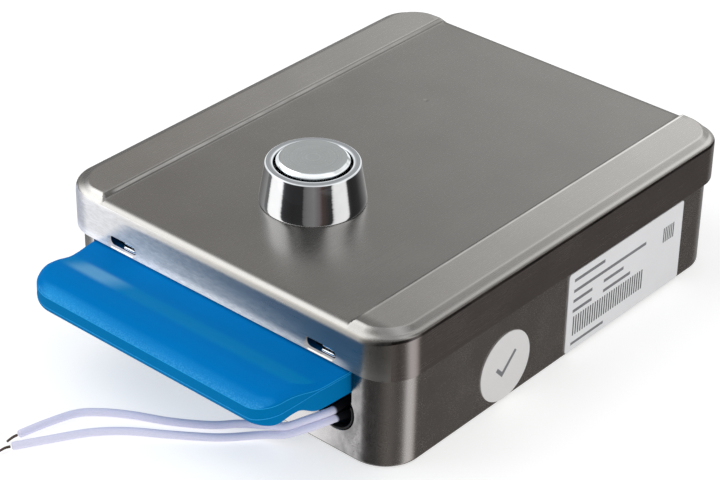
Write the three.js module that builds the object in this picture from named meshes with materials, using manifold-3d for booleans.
// Surface-mounted electric rim lock with a pivoting blade bolt.
// Millimetres. Origin: centre of the mounting face. +Z points from the mounting
// face to the cover. Front is -Y, the bolt side; left is -X. The long side runs along Y.

import * as THREE from 'three';
import { mergeVertices } from 'three/addons/utils/BufferGeometryUtils.js';
import Module from 'manifold-3d';

// ---------------------------------------------------------------- shared dimensions
const SLOT_X = 31;                            // cover slots and case windows, either side
const REAR_SCREW_X = 30, REAR_SCREW_Z = 29.5; // rear cover screws, either side
const PANEL_Z = 35.45;                        // centre panel of the cover
const CASE_X = 50.8, CASE_Y = 62.8;           // half sizes of the case, outside

const PIN_R = 1.5;
const PIVOT_Y = -59.6, PIVOT_Z = 20.4;        // blade pivot axis, along X
const LEVER_Y = -38, LEVER_Z = 13;            // locking lever pin axis, along X
const BLADE_X0 = -41.0, BLADE_X1 = 39.1;      // blade ends at the root

const BUTTON_X = -2.4, BUTTON_Y = -29.2;      // button and collar axis, along Z
const HUB_X = 0, HUB_Y = -32;                 // key hub axis, along Z
const RETAINER_SCREW_X = 12.3;
const RETAINER_SCREWS = [['front', HUB_Y - 8], ['rear', HUB_Y + 8]];  // name, y

const SOLENOID_X = -14.5, SOLENOID_Z = 21;    // solenoid axis, along Y
const FOOT_SCREW_DX = 14, FOOT_SCREW_Y = 3;   // solenoid foot screws, from its axis
const FLOOR_HOLE_R = 1.7;                     // floor screw holes

const CABLE_X = 34.6, CABLE_Z = 11.7, CABLE_HOLE_R = 5.6;  // cable hole in the front wall

const SIDES = [['left', -1], ['right', 1]];
const QUARTER = Math.PI / 2;

// mesh rotations, named by the local axis and where it ends up
const Z_TO_Y = [-QUARTER, 0, 0];
const Z_TO_X = [0, QUARTER, 0];
const Y_TO_Z = [QUARTER, 0, 0];

// ---------------------------------------------------------------- solid helpers
const wasm = await Module();
wasm.setup();

// welds the vertices, drops collapsed triangles and turns the faces outward
function solid(geometry) {
  const bare = geometry.clone();
  bare.deleteAttribute('normal');
  bare.deleteAttribute('uv');
  const welded = mergeVertices(bare, 1e-4);
  const position = welded.attributes.position;
  const index = Array.from(welded.index.array);
  const corners = [0, 1, 2].map(() => new THREE.Vector3());
  let triangles = [];
  let volume = 0;
  for (let i = 0; i < index.length; i += 3) {
    const triangle = index.slice(i, i + 3);
    if (new Set(triangle).size < 3) continue;
    triangles.push(triangle);
    triangle.forEach((vertex, k) => corners[k].fromBufferAttribute(position, vertex));
    volume += corners[0].dot(corners[1].cross(corners[2])) / 6;
  }
  if (volume < 0) triangles = triangles.map(([first, second, third]) => [first, third, second]);
  return new wasm.Manifold(new wasm.Mesh({
    numProp: 3,
    vertProperties: Float32Array.from(position.array),
    triVerts: Uint32Array.from(triangles.flat()),
  }));
}

// every helper below takes either a three.js geometry or a Manifold
const toSolid = shape => (shape.getMesh ? shape : solid(shape));
const join = (...shapes) => shapes.map(toSolid).reduce((sum, part) => sum.add(part));
const cut = (shape, ...tools) =>
  tools.reduce((rest, tool) => rest.subtract(toSolid(tool)), toSolid(shape));
const common = (one, other) => toSolid(one).intersect(toSolid(other));

function geometryOf(manifold) {
  const mesh = manifold.getMesh();
  const geometry = new THREE.BufferGeometry();
  const positions = Float32Array.from(mesh.vertProperties);
  geometry.setAttribute('position', new THREE.BufferAttribute(positions, 3));
  geometry.setIndex(new THREE.BufferAttribute(Uint32Array.from(mesh.triVerts), 1));
  geometry.computeVertexNormals();
  return geometry;
}

// ---------------------------------------------------------------- shapes
function box(x0, x1, y0, y1, z0, z1) {
  return new THREE.BoxGeometry(x1 - x0, y1 - y0, z1 - z0)
    .translate((x0 + x1) / 2, (y0 + y1) / 2, (z0 + z1) / 2);
}

// cylinder between two places on an axis, centred on the other two coordinates in x, y, z order
function rod(axis, radius, start, end, centre1, centre2, segments = 24) {
  const cylinder = new THREE.CylinderGeometry(radius, radius, end - start, segments);
  const middle = (start + end) / 2;
  if (axis === 'x') return cylinder.rotateZ(QUARTER).translate(middle, centre1, centre2);
  if (axis === 'y') return cylinder.translate(centre1, middle, centre2);
  return cylinder.rotateX(QUARTER).translate(centre1, centre2, middle);
}

// hole along X for a pin, with a radial gap
const pinHole = (y, z, gap, segments) => rod('x', PIN_R + gap, -60, 60, y, z, segments);

// flat ring about Y, centred on the origin
const ring = (outerR, innerR, thickness, sides, holeSides) => cut(
  rod('y', outerR, -thickness / 2, thickness / 2, 0, 0, sides),
  rod('y', innerR, -thickness, thickness, 0, 0, holeSides));

// profile of [radius, z] pairs turned about Z, closed when it starts off the axis
function turned(profile, segments) {
  const points = profile.map(([radius, z]) => new THREE.Vector2(radius, z));
  if (profile[0][0] > 0) points.push(points[0].clone());
  return new THREE.LatheGeometry(points, segments).rotateX(QUARTER);
}

// outline from points, without repeated ones
function polygon(points) {
  const kept = [];
  for (const [x, y] of points) {
    const last = kept[kept.length - 1];
    if (!last || Math.hypot(last.x - x, last.y - y) > 0.01) kept.push(new THREE.Vector2(x, y));
  }
  while (kept.length > 1 && kept[0].distanceTo(kept[kept.length - 1]) < 0.01) kept.pop();
  return new THREE.Shape(kept);
}

// points on an arc, angles in radians
const arc = (x, y, radius, from, to, steps) =>
  Array.from({ length: steps + 1 }, (_, i) => {
    const angle = from + ((to - from) * i) / steps;
    return [x + radius * Math.cos(angle), y + radius * Math.sin(angle)];
  });

// rectangle with one radius, or one per corner anticlockwise from (x0, y0)
function roundedRect(x0, x1, y0, y1, radius, steps = 6) {
  const [r00, r10, r11, r01] = Array.isArray(radius) ? radius : Array(4).fill(radius);
  return polygon([
    ...arc(x1 - r10, y0 + r10, r10, -QUARTER, 0, steps),
    ...arc(x1 - r11, y1 - r11, r11, 0, QUARTER, steps),
    ...arc(x0 + r01, y1 - r01, r01, QUARTER, 2 * QUARTER, steps),
    ...arc(x0 + r00, y0 + r00, r00, 2 * QUARTER, 3 * QUARTER, steps),
  ]);
}

function extrudeZ(shape, z0, z1) {
  return new THREE.ExtrudeGeometry(shape, { depth: z1 - z0, bevelEnabled: false, steps: 1 })
    .translate(0, 0, z0);
}

// sends the drawing's x, y and depth along the given directions
const reorient = (geometry, ...axes) => geometry.applyMatrix4(
  new THREE.Matrix4().makeBasis(...axes.map(axis => new THREE.Vector3(...axis))));

// shape drawn in (y, z)
const extrudeX = (shape, x0, x1) =>
  reorient(extrudeZ(shape, x0, x1), [0, 1, 0], [0, 0, 1], [1, 0, 0]);

// shape drawn in (x, z)
const extrudeY = (shape, y0, y1) =>
  reorient(extrudeZ(shape, -y1, -y0), [1, 0, 0], [0, 0, 1], [0, -1, 0]);

// round bar along a curve
const bar = (curve, radius, steps, sides) => new THREE.ExtrudeGeometry(
  polygon(arc(0, 0, radius, 0, 2 * Math.PI, sides)),
  { extrudePath: curve, steps, bevelEnabled: false });

class Helix extends THREE.Curve {
  constructor(radius, height, turns) {
    super();
    Object.assign(this, { radius, height, turns });
  }

  getPoint(t, target = new THREE.Vector3()) {
    const angle = 2 * Math.PI * this.turns * t;
    return target.set(
      this.radius * Math.cos(angle), this.radius * Math.sin(angle), this.height * t);
  }
}

const coilSpring = ({ radius, height, turns, wireR, steps }) =>
  bar(new Helix(radius, height, turns), wireR, steps, 5);

// ---------------------------------------------------------------- scene
const FINISHES = {
  stainless: { color: 0x9c9c96, roughness: 0.35, metalness: 0.95 },
  case_steel: { color: 0x8f8b84, roughness: 0.55, metalness: 0.9 },
  chrome: { color: 0xd8dadd, roughness: 0.08, metalness: 1.0 },
  cap: { color: 0xa9b0b2, roughness: 0.3, metalness: 0.9 },
  blue: { color: 0x0a68b8, roughness: 0.55, metalness: 0.0 },
  steel: { color: 0x85878a, roughness: 0.4, metalness: 0.95 },
  zinc: { color: 0xa9a799, roughness: 0.45, metalness: 0.9 },
  spring: { color: 0x70747a, roughness: 0.3, metalness: 1.0 },
  copper: { color: 0xa8552c, roughness: 0.35, metalness: 0.9 },
  bobbin: { color: 0x2b2d2e, roughness: 0.6, metalness: 0.0 },
  block: { color: 0x1d1f20, roughness: 0.55, metalness: 0.0 },
  rubber: { color: 0x101112, roughness: 0.75, metalness: 0.0 },
  wire: { color: 0xc9c8e2, roughness: 0.5, metalness: 0.0 },
  core: { color: 0x3a3634, roughness: 0.5, metalness: 0.6 },
  lead: { color: 0x8a2a22, roughness: 0.5, metalness: 0.0 },
  label: { color: 0xe6e6e0, roughness: 0.6, metalness: 0.0 },
  sticker: { color: 0xd9ddd4, roughness: 0.5, metalness: 0.0 },
};

function addGroup(parent) {
  const group = new THREE.Group();
  parent.add(group);
  return group;
}

function piece(parent, name, shape, finish, at = [0, 0, 0], turn = [0, 0, 0]) {
  const material = new THREE.MeshStandardMaterial({ ...FINISHES[finish] });
  const mesh = new THREE.Mesh(geometryOf(toSolid(shape)), material);
  mesh.name = name;
  mesh.position.set(...at);
  mesh.rotation.set(...turn);
  parent.add(mesh);
}

const lock = new THREE.Group();
const fixed = addGroup(lock);

// ---------------------------------------------------------------- cover
const COVER_W = 104, COVER_L = 128, COVER_R = 10;  // plan and corner radius
const SKIRT_Z = 24.2;                              // lower edge of the skirt
const SHEET = 1.0, FOLD = 2.0;                     // sheet thickness, outer fold radius
const PAD_Z = 36.5;                                // raised flanks
const PAD_X0 = 39.1, PAD_X1 = 49.0, PAD_Y = 61.6;  // top outline of a flank
const PAD_DEPTH = 3;
const SLOT_L = 9, SLOT_H = 2.6, SLOT_Z = 26.1;

function coverBody(inset, fold, top, bevelSegments) {
  const start = SKIRT_Z - 6;  // runs below the skirt edge
  const edge = inset + fold;
  const outline = roundedRect(-COVER_W / 2 + edge, COVER_W / 2 - edge,
    -COVER_L / 2 + edge, COVER_L / 2 - edge, COVER_R - edge);
  return new THREE.ExtrudeGeometry(outline, {
    depth: top - fold - start, steps: 1,
    bevelEnabled: true, bevelThickness: fold, bevelSize: fold, bevelSegments,
  }).translate(0, 0, start);
}

function coverPad() {
  const rise = PAD_Z - PANEL_Z;
  const outline = roundedRect(PAD_X0, PAD_X1, -PAD_Y, PAD_Y, [0, 8.4, 8.4, 0]);
  const pad = new THREE.ExtrudeGeometry(outline, {
    depth: PAD_DEPTH, steps: 1,
    bevelEnabled: true, bevelThickness: rise, bevelSize: rise * 1.24, bevelSegments: 1,
  }).translate(0, 0, PAD_Z - rise - PAD_DEPTH);
  return common(pad, box(-60, 60, -70, 70, PANEL_Z - 0.6, PAD_Z + 1));
}

function cover() {
  const addBothSides = (body, part) => body.add(part).add(part.mirror([1, 0, 0]));
  const trimmed = common(coverBody(0, FOLD, PANEL_Z, 3), box(-60, 60, -70, 70, SKIRT_Z, 60));
  const outer = addBothSides(trimmed, coverPad());
  const padHollow = extrudeZ(
    roundedRect(PAD_X0 + 0.9, PAD_X1 - 0.7, -PAD_Y + 0.9, PAD_Y - 0.9, [0, 7.2, 7.2, 0]),
    PANEL_Z - SHEET - 1, PAD_Z - SHEET - 0.05);
  const cavity = addBothSides(
    solid(coverBody(SHEET, FOLD - SHEET, PANEL_Z - SHEET, 1)), solid(padHollow));
  const slots = SIDES.map(([, dir]) => {
    const x = dir * SLOT_X;
    return extrudeY(roundedRect(x - SLOT_L / 2, x + SLOT_L / 2,
      SLOT_Z - SLOT_H / 2, SLOT_Z + SLOT_H / 2, SLOT_H / 2 - 0.01), -66, -60);
  });
  return cut(outer, cavity, ...slots,
    rod('z', 8.4, 30, 40, BUTTON_X, BUTTON_Y, 28),
    rod('z', 0.8, PANEL_Z - 0.4, 40, -13.6, 25.5, 10),  // small dimple in the panel
    ...SIDES.map(([, dir]) => rod('y', 2.3, 60, 68, dir * REAR_SCREW_X, REAR_SCREW_Z, 12)));
}
piece(fixed, 'cover', cover(), 'stainless');

// ---------------------------------------------------------------- case
const CASE_R = 9.6, CASE_TOP = 33.6;
const WALL = 1.2, FLOOR = 1.5;
const MOUNT_HOLES = [[-42, -30], [42, -30], [-42, 50], [42, 50]];  // x, y

function caseShell() {
  const outer = extrudeZ(roundedRect(-CASE_X, CASE_X, -CASE_Y, CASE_Y, CASE_R), 0, CASE_TOP);
  const inner = extrudeZ(
    roundedRect(-CASE_X + WALL, CASE_X - WALL, -CASE_Y + WALL, CASE_Y - WALL, CASE_R - WALL),
    FLOOR, CASE_TOP + 5);
  const bladeOpening = extrudeY(
    roundedRect(BLADE_X0 - 0.8, BLADE_X1 + 0.8, 14.2, 24.7, 1.2, 3), -66, -60);
  const window = x => box(x - 5.5, x + 5.5, -66, -60, 23, 28.2);
  const floorHole = (radius, x, y, segments) => rod('z', radius, -1, 3, x, y, segments);
  const screws = [
    ...SIDES.map(([, dir]) => [SOLENOID_X + dir * FOOT_SCREW_DX, FOOT_SCREW_Y]),
    ...RETAINER_SCREWS.map(([, y]) => [RETAINER_SCREW_X, y]),
  ];
  return cut(outer, inner, bladeOpening, window(-SLOT_X), window(SLOT_X),
    rod('y', CABLE_HOLE_R, -66, -60, CABLE_X, CABLE_Z, 28),
    ...SIDES.map(([, dir]) => rod('y', 2.2, 60, 66, dir * REAR_SCREW_X, REAR_SCREW_Z, 12)),
    floorHole(7.1, HUB_X, HUB_Y, 28),
    ...MOUNT_HOLES.map(([x, y]) => floorHole(3.3, x, y, 14)),
    ...screws.map(([x, y]) => floorHole(FLOOR_HOLE_R, x, y, 10)));
}
piece(fixed, 'case_shell', caseShell(), 'case_steel');

// catch hooks behind the front slots, their noses reach into the slots
for (const [side, dir] of SIDES) {
  const hook = join(box(-5, 5, -0.6, 0.6, 0, 6.4), box(-1.6, 1.6, -2.4, 0, -1.4, 0.5));
  piece(fixed, `cover_catch_${side}`, hook, 'chrome', [dir * SLOT_X + 1.8, -60.9, 26.6]);
}

// rear cover screws with hexagon sockets, and the nuts inside the case
for (const [side, dir] of SIDES) {
  const x = dir * REAR_SCREW_X;
  const screw = turned([[0, -7], [1.9, -7], [1.9, 0.05], [3.4, 0.05], [3.4, 0.8], [2.9, 1.5],
    [0, 1.6]], 16);
  const socket = rod('z', 1.1, 0.6, 2.6, 0, 0, 6);
  piece(fixed, `cover_screw_${side}`, cut(screw, socket), 'steel',
    [x, COVER_L / 2, REAR_SCREW_Z], Z_TO_Y);
  piece(fixed, `cover_nut_${side}`, ring(4.0, 2.2, 3, 6, 14), 'zinc', [x, 59.8, REAR_SCREW_Z]);
}

// labels on the right wall
const LABEL_X = CASE_X + 0.05;
piece(fixed, 'data_label',
  extrudeX(roundedRect(0.7, 47, 0.8, 23.1, 0.8, 2), LABEL_X, CASE_X + 0.3), 'label');
piece(fixed, 'round_sticker', rod('x', 9, LABEL_X, CASE_X + 0.25, -22.5, 9.6, 32), 'sticker');

// ---------------------------------------------------------------- blade bolt
const BARREL_R = 3.2;                         // round root about the pivot
const CORE_X0 = -18, CORE_X1 = -11;
const SHOULDER_Y = -64;                       // the plan tapers forward of here
const NOSE_Y = -88.5;                         // front of the plan, just past the section
const LEFT_TAPER = 3.0, RIGHT_TAPER = 2.0;    // inward lean of each end at the nose
const LEFT_CORNER = 9, RIGHT_CORNER = 6;      // size of the nose corners

// blade section as (y, z), root to nose along the top, then back underneath
const BLADE_TOP = [
  [-59.6, 23.6], [-64, 23.55], [-68, 23.6], [-71, 23.95], [-73, 24.5], [-75, 25.3],
  [-77, 26.1], [-79, 26.6], [-81, 26.85], [-83, 26.85], [-85, 26.45], [-86.6, 25.6],
  [-87.7, 24.7], [-88.15, 24.1],
];
const BLADE_UNDERSIDE = [
  [-88.3, 22.5], [-88.1, 20.9], [-87.6, 20.1], [-86.6, 19.55], [-85, 19.4], [-82.5, 19.8],
  [-80, 20.15], [-78.3, 20.2], [-77, 19.85], [-75.6, 19.1], [-74.2, 18.2], [-72.6, 17.55],
  [-70.5, 17.3], [-68, 17.3], [-64.5, 17.4], [-62, 17.25],
];

// blade outline seen from the cover, as (x, y)
function bladePlan() {
  const bend = (...points) => new THREE.QuadraticBezierCurve(
    ...points.map(point => new THREE.Vector2(...point))).getPoints(6);
  const left = BLADE_X0 + LEFT_TAPER;
  const right = BLADE_X1 - RIGHT_TAPER;
  const length = SHOULDER_Y - NOSE_Y;
  return polygon([
    [BLADE_X0, -56], [BLADE_X0, SHOULDER_Y],
    ...bend([left - LEFT_TAPER * LEFT_CORNER / length, NOSE_Y + LEFT_CORNER],
      [left, NOSE_Y], [left + LEFT_CORNER, NOSE_Y]),
    ...bend([right - RIGHT_CORNER, NOSE_Y], [right, NOSE_Y],
      [right + RIGHT_TAPER * RIGHT_CORNER / length, NOSE_Y + RIGHT_CORNER]),
    [BLADE_X1, SHOULDER_Y], [BLADE_X1, -56],
  ]);
}

function blade() {
  const barrel = arc(PIVOT_Y, PIVOT_Z, BARREL_R, -QUARTER, QUARTER, 10);
  const section = extrudeX(
    polygon([...BLADE_TOP, ...BLADE_UNDERSIDE, ...barrel]), BLADE_X0 - 1, BLADE_X1 + 1);
  return cut(common(section, extrudeZ(bladePlan(), 10, 40)),
    pinHole(PIVOT_Y, PIVOT_Z, 0.2),
    box(CORE_X0 - 0.3, CORE_X1 + 0.3, -74.4, -50, 18.6, 22.2),  // pocket for the core's lug
    box(CORE_X0 - 0.3, -4.8, SHOULDER_Y, -50, 10, 30));         // gap for the hub and spring
}

// steel core: lug inside the blade, hub on the pin, tail held by the locking lever
function bladeCore() {
  const hub = rod('x', BARREL_R, CORE_X0, CORE_X1, PIVOT_Y, PIVOT_Z, 22);
  const lug = box(CORE_X0, CORE_X1, -74, PIVOT_Y, 18.9, 21.9);
  const tail = extrudeX(polygon([[PIVOT_Y, 18.4], [-47, 18.4], [-47, 21.6], [-47.8, 22.4],
    [PIVOT_Y, 22.4]]), CORE_X0, CORE_X1);
  return cut(join(hub, lug, tail), pinHole(PIVOT_Y, PIVOT_Z, 0.1, 22));
}

const bladeGroup = addGroup(lock);
piece(bladeGroup, 'bolt_blade', blade(), 'blue');
piece(bladeGroup, 'bolt_core', bladeCore(), 'steel');
piece(fixed, 'bolt_pivot_pin', rod('x', PIN_R, -43.6, 42.4, PIVOT_Y, PIVOT_Z), 'steel');
piece(fixed, 'bolt_spring',
  coilSpring({ radius: 2.55, height: 4.4, turns: 4.5, wireR: 0.42, steps: 45 }),
  'spring', [-10.0, PIVOT_Y, PIVOT_Z], Z_TO_X);

// upright plates that carry the pivot pin, each with a foot pointing outward
for (const [side, plateX, footX] of [['left', -43.4, -48], ['right', 40.6, 41.8]]) {
  const plate = extrudeX(polygon([[-61.1, 1.6], [-50, 1.6], [-50, 10], [-56, 24.0],
    [-61.1, 24.0]]), plateX, plateX + 1.4);
  const foot = box(footX, footX + 4.8, -56.6, -50, 1.6, 3.0);
  const bracket = cut(join(plate, foot), pinHole(PIVOT_Y, PIVOT_Z, 0.15));
  piece(fixed, `pivot_bracket_${side}`, bracket, 'zinc');
}

// ---------------------------------------------------------------- locking lever and rocker
// outlines in this section are (y, z)
function lockingLever() {
  const outline = polygon([[-48.5, 23.1], [-40.2, 23.1], [-39.6, 22.5], [-39.6, 16.6],
    ...arc(LEVER_Y, LEVER_Z, 4, 2.0, 2 * Math.PI + 1.14, 14),
    [-36.4, 26.2], [-47.2, 26.2], [-48.5, 24.9]]);
  return cut(extrudeX(outline, -16.5, -12.5), pinHole(LEVER_Y, LEVER_Z, 0.1));
}

function releaseRocker() {
  const x0 = -8, x1 = -4;
  const hub = rod('x', 4, x0, x1, LEVER_Y, LEVER_Z);
  const arm = extrudeX(polygon([[-40.5, 14], [-35.4, 12.4], [-27.4, 20.8], [-26.6, 23.5],
    [-30.1, 23.5], [-34.6, 19.6]]), x0, x1);
  const pad = extrudeX(polygon([[-30.4, 20.8], [-26.4, 20.8], [-26.4, 23.1], [-27.0, 23.5],
    [-30.0, 23.5], [-30.4, 23.2]]), -7, 2);
  const finger = extrudeX(polygon([[-41.8, 12.2], [-38.4, 16.6], [-45.8, 21.6],
    [-46.6, 20.4]]), x0, x1);
  return cut(join(hub, arm, pad, finger), pinHole(LEVER_Y, LEVER_Z, 0.1));
}

function leverBracket() {
  const cheek = (x0, x1, footY) => extrudeX(polygon([[-43.2, 1.7], [footY, 1.7], [footY, 10],
    [-34.4, 11], [-34.4, 16.6], [-41.4, 16.6], [-43.2, 13]]), x0, x1);
  const base = box(-20.8, -1.6, -43.2, -36, 1.7, 3.1);
  return cut(join(cheek(-20.8, -19.6, -34.4), cheek(-2.8, -1.6, -41.4), base),
    pinHole(LEVER_Y, LEVER_Z, 0.15), rod('z', 9.0, 0, 5, HUB_X, HUB_Y, 32));
}

piece(lock, 'locking_lever', lockingLever(), 'steel');
piece(lock, 'release_rocker', releaseRocker(), 'zinc');
piece(fixed, 'lever_pin', rod('x', PIN_R, -21.4, -1.0, LEVER_Y, LEVER_Z), 'steel');
piece(fixed, 'lever_spring',
  coilSpring({ radius: 2.5, height: 2.2, turns: 3.25, wireR: 0.38, steps: 33 }),
  'spring', [-11.4, LEVER_Y, LEVER_Z], Z_TO_X);
piece(fixed, 'lever_bracket', leverBracket(), 'zinc');

// ---------------------------------------------------------------- solenoid
function solenoidFrame() {
  const x0 = SOLENOID_X - 11, x1 = SOLENOID_X + 11;
  const base = 1.8, baseTop = 3.4, top = 32.4;
  return cut(
    join(box(x0, x1, -16, -14.4, base, top), box(x0, x1, 18, 19.6, base, top),
      box(x0, x1, -16, 19.6, base, baseTop), box(x0 - 6, x1 + 6, -3, 9, base, baseTop)),
    rod('y', 5.0, -20, -10, SOLENOID_X, SOLENOID_Z, 28),
    ...SIDES.map(([, dir]) =>
      rod('z', FLOOR_HOLE_R, 0, 6, SOLENOID_X + dir * FOOT_SCREW_DX, FOOT_SCREW_Y, 10)));
}
piece(fixed, 'solenoid_frame', solenoidFrame(), 'zinc');

// name, finish, segments, profile of (radius, y)
for (const [name, finish, segments, profile] of [
  ['bobbin', 'bobbin', 22, [[4.9, -14.2], [10.6, -14.2], [10.6, -13.2], [5.9, -13.2],
    [5.9, 16.8], [10.6, 16.8], [10.6, 17.8], [4.9, 17.8]]],
  ['coil', 'copper', 22, [[6.1, -13.0], [9.9, -13.0], [10.1, -12.6], [10.1, 16.2],
    [9.9, 16.6], [6.1, 16.6]]],
  ['pole', 'steel', 24, [[0, 8.4], [4.2, 8.4], [4.6, 8.8], [4.6, 17.7], [0, 17.7]]],
]) {
  piece(fixed, `solenoid_${name}`, turned(profile, segments), finish,
    [SOLENOID_X, 0, SOLENOID_Z], Z_TO_Y);
}

for (const [side, dir] of SIDES) {
  const screw = turned([[0, 0.3], [1.4, 0.3], [1.4, 3.5], [2.8, 3.5], [2.8, 4.5], [2.2, 5.2],
    [0, 5.3]], 12);
  piece(fixed, `solenoid_screw_${side}`, cut(screw, box(-0.35, 0.35, -4, 4, 4.6, 6)), 'steel',
    [SOLENOID_X + dir * FOOT_SCREW_DX, FOOT_SCREW_Y, 0]);
}

// round plunger with a clip groove and a flat slotted tongue that takes the locking lever
function plunger() {
  const round = turned([[0, -27], [3.8, -27], [4.5, -26.9], [4.5, -26.6], [3.7, -26.6],
    [3.7, -25.5], [4.5, -25.5], [4.5, 3.0], [4.1, 3.4], [0, 3.4]], 20)
    .rotateX(-QUARTER).translate(SOLENOID_X, 0, SOLENOID_Z);
  const tongue = box(SOLENOID_X - 3.6, SOLENOID_X + 3.6, -43, -26.8,
    SOLENOID_Z - 1.5, SOLENOID_Z + 1.5);
  const slot = box(SOLENOID_X - 2.4, SOLENOID_X + 2.4, -41.2, -34.2, 10, 30);
  return cut(join(round, tongue), slot);
}

const plungerGroup = addGroup(lock);
piece(plungerGroup, 'solenoid_plunger', plunger(), 'steel');
piece(plungerGroup, 'plunger_clip', ring(6.3, 3.9, 0.7, 24, 24), 'spring',
  [SOLENOID_X, -26.05, SOLENOID_Z]);
piece(fixed, 'plunger_spring',
  coilSpring({ radius: 5.3, height: 8.2, turns: 4.5, wireR: 0.4, steps: 50 }),
  'spring', [SOLENOID_X, -25.1, SOLENOID_Z], Z_TO_Y);

// ---------------------------------------------------------------- button
const COLLAR_SEAT_Z = PANEL_Z + 0.05;
const COLLAR = [  // radius, z
  [8.0, 29.5], [8.0, COLLAR_SEAT_Z], [12.7, COLLAR_SEAT_Z], [12.7, 36.5], [11.35, 44.8],
  [11.2, 45.3], [10.8, 45.65], [9.8, 45.7], [9.25, 45.3], [9.25, 38.0], [3.3, 38.0],
  [3.3, 29.5],
];
piece(fixed, 'button_collar', turned(COLLAR, 32), 'chrome', [BUTTON_X, BUTTON_Y, 0]);
piece(fixed, 'collar_nut', ring(12.4, 8.3, 2.8, 6, 32), 'zinc',
  [BUTTON_X, BUTTON_Y, 32.8], Y_TO_Z);
piece(fixed, 'button_spring',
  coilSpring({ radius: 5.6, height: 5.2, turns: 4.0, wireR: 0.45, steps: 44 }),
  'spring', [BUTTON_X, BUTTON_Y, 38.7]);

const buttonGroup = addGroup(lock);
buttonGroup.position.set(BUTTON_X, BUTTON_Y, 0);
piece(buttonGroup, 'button_cap', turned([[0, 46.8], [7.9, 46.8], [8.75, 46.05], [8.75, 41.6],
  [7.5, 41.6], [7.5, 45.0], [4.2, 45.0], [4.2, 42.0], [2.3, 42.0], [2.3, 45.6],
  [0, 45.6]], 30), 'cap');
piece(buttonGroup, 'button_stem', turned([[0, 24.0], [2.5, 24.0], [2.9, 24.4], [2.9, 41.7],
  [2.0, 41.7], [2.0, 45.3], [0, 45.3]], 24), 'steel');
piece(buttonGroup, 'stem_clip',
  turned([[3.05, 28.3], [5.4, 28.3], [5.4, 29.1], [3.05, 29.1]], 24), 'spring');

// ---------------------------------------------------------------- key hub in the case floor
function keyHub() {
  const hub = turned([[0, 0.3], [6.8, 0.3], [6.8, 1.8], [8.5, 1.8], [8.5, 3.6], [6.0, 3.6],
    [6.0, 9.0], [0, 9.0]], 24);
  const cam = extrudeZ(polygon([[-5, 0], [5, 0], [3.4, 8], [2.0, 11.2], [-2.0, 11.2],
    [-3.4, 8]]), 6, 9);
  return cut(join(hub, cam), box(-1.4, 1.4, -4.6, 4.6, -1, 7.5));
}

// plate over the hub flange, on two feet
function hubRetainer() {
  return cut(
    join(box(1.5, 14.6, -42.4, -21.6, 3.9, 5.1), box(9.8, 14.6, -42.4, -37.4, 1.7, 4.0),
      box(9.8, 14.6, -26.6, -21.6, 1.7, 4.0)),
    rod('z', 6.3, 0, 8, HUB_X, HUB_Y, 32),
    ...RETAINER_SCREWS.map(([, y]) => rod('z', FLOOR_HOLE_R, 0, 8, RETAINER_SCREW_X, y, 10)));
}

piece(lock, 'key_hub', keyHub(), 'zinc', [HUB_X, HUB_Y, 0]);
piece(fixed, 'hub_retainer', hubRetainer(), 'zinc');
for (const [side, y] of RETAINER_SCREWS) {
  const screw = turned([[0, 0.3], [1.4, 0.3], [1.4, 5.2], [2.3, 5.2], [2.3, 5.7],
    [1.8, 5.95], [0, 5.95]], 12);
  piece(fixed, `retainer_screw_${side}`, screw, 'steel', [RETAINER_SCREW_X, y, 0]);
}

// ---------------------------------------------------------------- wiring
const TERMINAL_XS = [32.4, 38.6], TERMINAL_Y = -43.5, TERMINAL_Z = 7;

piece(fixed, 'terminal_block', cut(box(27.5, 43.5, -50, -37, 1.7, 13),
  ...TERMINAL_XS.map(x => rod('y', 1.7, -52, -35, x, TERMINAL_Z, 16)),
  ...TERMINAL_XS.map(x => rod('z', 2.4, 9.6, 15, x, TERMINAL_Y, 14))), 'block');
TERMINAL_XS.forEach((x, i) => {
  const screw = turned([[0, 0], [2.1, 0], [2.1, 2.0], [0, 2.0]], 14);
  piece(fixed, `terminal_screw_${i + 1}`, cut(screw, box(-0.3, 0.3, -3, 3, 1.3, 3)), 'steel',
    [x, TERMINAL_Y, 9.9]);
});

// edging round the lower part of the cable hole
piece(fixed, 'cable_edge_guard', cut(
  rod('y', CABLE_HOLE_R - 0.15, -62.9, -61.3, CABLE_X, CABLE_Z, 28),
  rod('y', CABLE_HOLE_R - 0.6, -66, -50, CABLE_X, CABLE_Z, 28),
  box(20, 50, -70, -50, 13.8, 30)), 'rubber');

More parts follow.
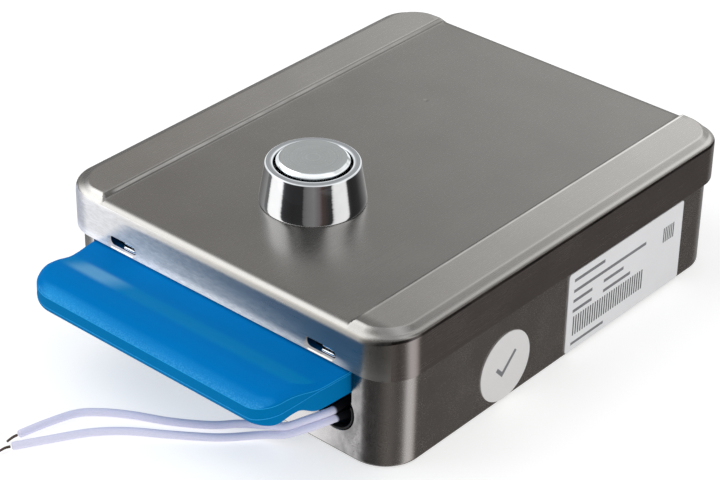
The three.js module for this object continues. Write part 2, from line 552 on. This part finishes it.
// name, finish, radius, steps, sides, then (x, y, z) points along the wire
for (const [name, finish, radius, steps, sides, points] of [
  ['supply_wire_1', 'wire', 0.95, 40, 6, [
    [32.4, -48.6, 7.0], [32.6, -53, 8.2], [33.8, -58.5, 10.2], [34.4, -63, 10.9],
    [32.9, -65.6, 10.2], [30.0, -67.5, 8.3], [25.9, -69.2, 5.6], [20.8, -69.8, 3.7],
    [14.8, -72.2, 2.4], [9.6, -75.8, 1.4], [1.2, -81.0, 1.05], [-7.0, -85.1, 1.05],
    [-12.8, -88.9, 1.05], [-16.6, -92.8, 1.05], [-19.0, -99.7, 1.05], [-20.6, -107.2, 1.05]]],
  ['supply_wire_2', 'wire', 0.95, 36, 6, [
    [38.6, -48.6, 7.0], [37.8, -53, 7.2], [35.9, -58.6, 8.4], [34.9, -63, 8.9],
    [33.4, -65.6, 8.2], [30.2, -67.8, 6.15], [25.8, -69.4, 3.4], [20.7, -70.8, 1.5],
    [13.6, -77.8, 1.05], [4.8, -84.4, 1.05], [-3.7, -90.3, 1.05], [-9.1, -95.8, 1.05],
    [-14.2, -104.0, 1.05], [-18.4, -111.2, 1.05]]],
  ['wire_conductor_1', 'core', 0.32, 3, 6, [
    [-20.66, -107.5, 1.05], [-20.8, -108.8, 1.0], [-20.8, -110.6, 0.75]]],
  ['wire_conductor_2', 'core', 0.32, 3, 6, [
    [-18.55, -111.5, 1.05], [-19.1, -112.6, 1.0], [-19.5, -114.2, 0.7]]],
  ['coil_lead_1', 'lead', 0.6, 20, 5, [
    [32.4, -38.6, 7.0], [32.2, -34.5, 5.4], [29, -27, 3.0], [21, -18.5, 2.6],
    [8, -17.2, 2.6], [0.5, -13, 4.5], [-2.6, -12.2, 10], [-2.9, -12.4, 17]]],
  ['coil_lead_2', 'lead', 0.6, 20, 5, [
    [38.6, -38.6, 7.0], [38.2, -34.0, 5.0], [33, -24, 3.0], [24, -14.5, 2.6],
    [10, -12.6, 2.6], [2.4, -10.4, 4.5], [-1.9, -9.6, 10], [-2.6, -9.6, 17]]],
]) {
  const path = new THREE.CatmullRomCurve3(
    points.map(point => new THREE.Vector3(...point)), false, 'centripetal');
  piece(fixed, name, bar(path, radius, steps, sides), finish);
}

export default lock;
